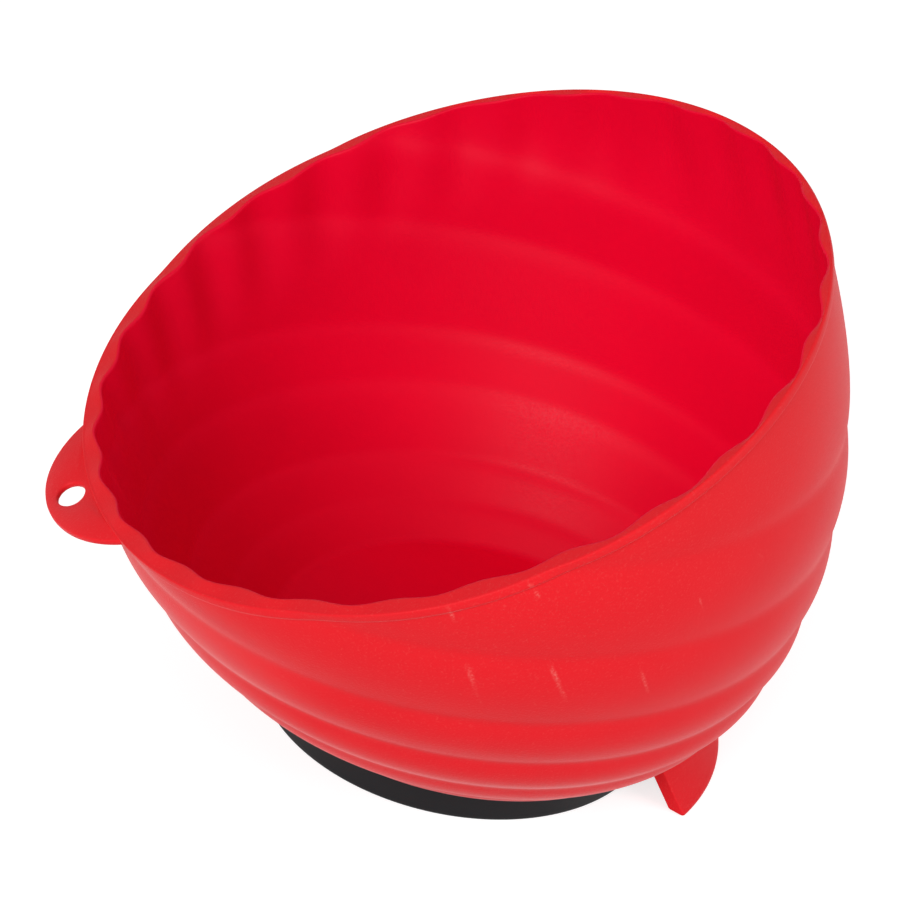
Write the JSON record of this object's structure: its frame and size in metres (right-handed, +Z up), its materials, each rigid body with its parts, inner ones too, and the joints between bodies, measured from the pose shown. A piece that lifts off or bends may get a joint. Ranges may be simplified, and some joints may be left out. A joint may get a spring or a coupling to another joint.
{
  "type": "magnetic parts tray",
  "caption": "Leaning stepped plastic bowl with a slanted fluted rim, hang tab and flared foot, on a round rubber-covered magnet base that holds loose fasteners while working.",
  "frame": {"origin": "centre of the rubber boot's flat bottom face, on the surface the tray stands on", "axes": "+Z up along the magnet base's axis, +X towards the tall side of the bowl, hang tab at -X"},
  "size_m": [0.1608, 0.1622, 0.1277],
  "materials": {
    "bowl_plastic": "red moulded plastic, satin inside, finely textured outside",
    "boot_rubber": "black satin rubber",
    "magnet_ferrite": "sintered ferrite, dull dark grey",
    "plate_steel": "zinc-plated sheet steel",
    "fastener_steel": "zinc-plated steel"
  },
  "bodies": {
    "root": {"bowl": "bowl_plastic", "rubber_boot": "boot_rubber", "ring_magnet": "magnet_ferrite", "backing_plate": "plate_steel", "washer": "fastener_steel", "centre_screw": "fastener_steel"}
  },
  "joints": []
}
